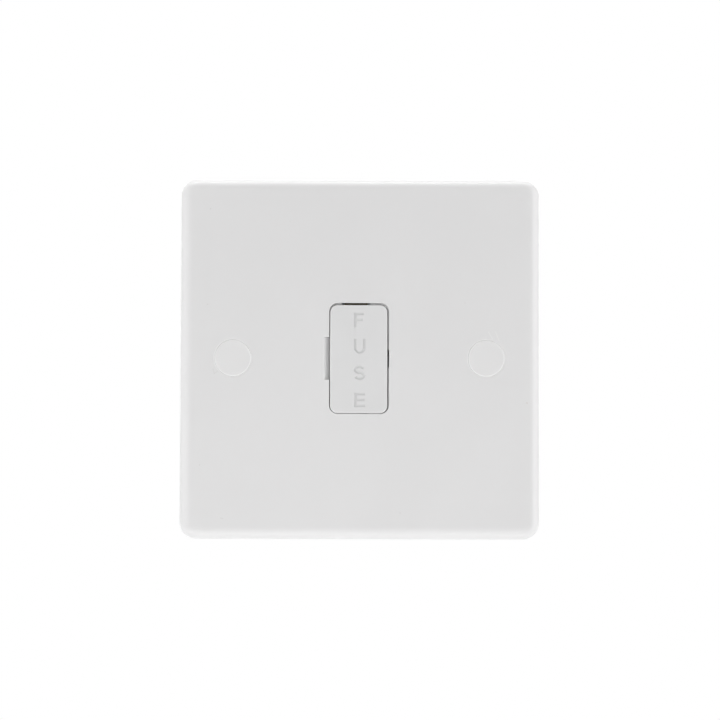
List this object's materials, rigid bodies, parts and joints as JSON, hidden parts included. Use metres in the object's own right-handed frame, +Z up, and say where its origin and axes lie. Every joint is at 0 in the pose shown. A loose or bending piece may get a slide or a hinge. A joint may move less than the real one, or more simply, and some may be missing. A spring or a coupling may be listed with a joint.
{
  "type": "fused spur unit",
  "caption": "White square single-gang fused spur unit with a pull-out fuse drawer, push-in screw caps and pillar terminals in a rear housing.",
  "frame": {"origin": "centre of the plate on the wall plane, in the rear rim of its skirt", "axes": "+X right, +Z up, +Y into the wall; the face looks along -Y"},
  "size_m": [0.086, 0.0291, 0.086],
  "materials": {
    "plate": "satin-gloss moulded urea",
    "screw_cap": "smooth moulded plastic",
    "carrier": "satin moulded plastic",
    "housing": "matt moulded plastic",
    "ceramic": "glazed ceramic",
    "fuse_cap": "nickel plate",
    "strip_brass": "rolled strip",
    "terminal_brass": "sawn and tumbled",
    "terminal_screw": "zinc plate",
    "zinc_steel": "bright zinc plate"
  },
  "bodies": {
    "root": {"earth_load_terminal": "terminal_brass", "earth_strap": "strip_brass", "earth_supply_terminal": "terminal_brass", "front_plate": "plate", "fuse_clip_lower": "strip_brass", "fuse_clip_upper": "strip_brass", "housing_screw_lower_left": "zinc_steel", "housing_screw_lower_right": "zinc_steel", "housing_screw_upper_left": "zinc_steel", "housing_screw_upper_right": "zinc_steel", "live_load_terminal": "terminal_brass", "live_supply_terminal": "terminal_brass", "neutral_link": "strip_brass", "neutral_load_terminal": "terminal_brass", "neutral_supply_terminal": "terminal_brass", "rear_housing": "housing"},
    "fuse_drawer": {"fuse_carrier": "carrier", "fuse_barrel": "ceramic", "fuse_cap_upper": "fuse_cap", "fuse_cap_lower": "fuse_cap"},
    "cap_left": {"screw_cap_left": "screw_cap"},
    "cap_right": {"screw_cap_right": "screw_cap"},
    "neutral_load_clamp": {"neutral_load_screw": "terminal_screw"},
    "neutral_supply_clamp": {"neutral_supply_screw": "terminal_screw"},
    "live_load_clamp": {"live_load_screw": "terminal_screw"},
    "live_supply_clamp": {"live_supply_screw": "terminal_screw"},
    "earth_load_clamp": {"earth_load_screw": "terminal_screw"},
    "earth_supply_clamp": {"earth_supply_screw": "terminal_screw"}
  },
  "joints": [
    {"name": "fuse_drawer_slide", "type": "slide", "parent": "root", "child": "fuse_drawer", "axis": [0, -1, 0], "range_m": [0, 0.016]},
    {"name": "cap_left_pull", "type": "slide", "parent": "root", "child": "cap_left", "axis": [0, -1, 0], "range_m": [0, 0.003]},
    {"name": "cap_right_pull", "type": "slide", "parent": "root", "child": "cap_right", "axis": [0, -1, 0], "range_m": [0, 0.003]},
    {"name": "neutral_load_tighten", "type": "slide", "parent": "root", "child": "neutral_load_clamp", "axis": [0, -1, 0], "range_m": [0, 0.0035]},
    {"name": "neutral_supply_tighten", "type": "slide", "parent": "root", "child": "neutral_supply_clamp", "axis": [0, -1, 0], "range_m": [0, 0.0035]},
    {"name": "live_load_tighten", "type": "slide", "parent": "root", "child": "live_load_clamp", "axis": [0, -1, 0], "range_m": [0, 0.0035]},
    {"name": "live_supply_tighten", "type": "slide", "parent": "root", "child": "live_supply_clamp", "axis": [0, -1, 0], "range_m": [0, 0.0035]},
    {"name": "earth_load_tighten", "type": "slide", "parent": "root", "child": "earth_load_clamp", "axis": [0, -1, 0], "range_m": [0, 0.0035]},
    {"name": "earth_supply_tighten", "type": "slide", "parent": "root", "child": "earth_supply_clamp", "axis": [0, -1, 0], "range_m": [0, 0.0035]}
  ]
}
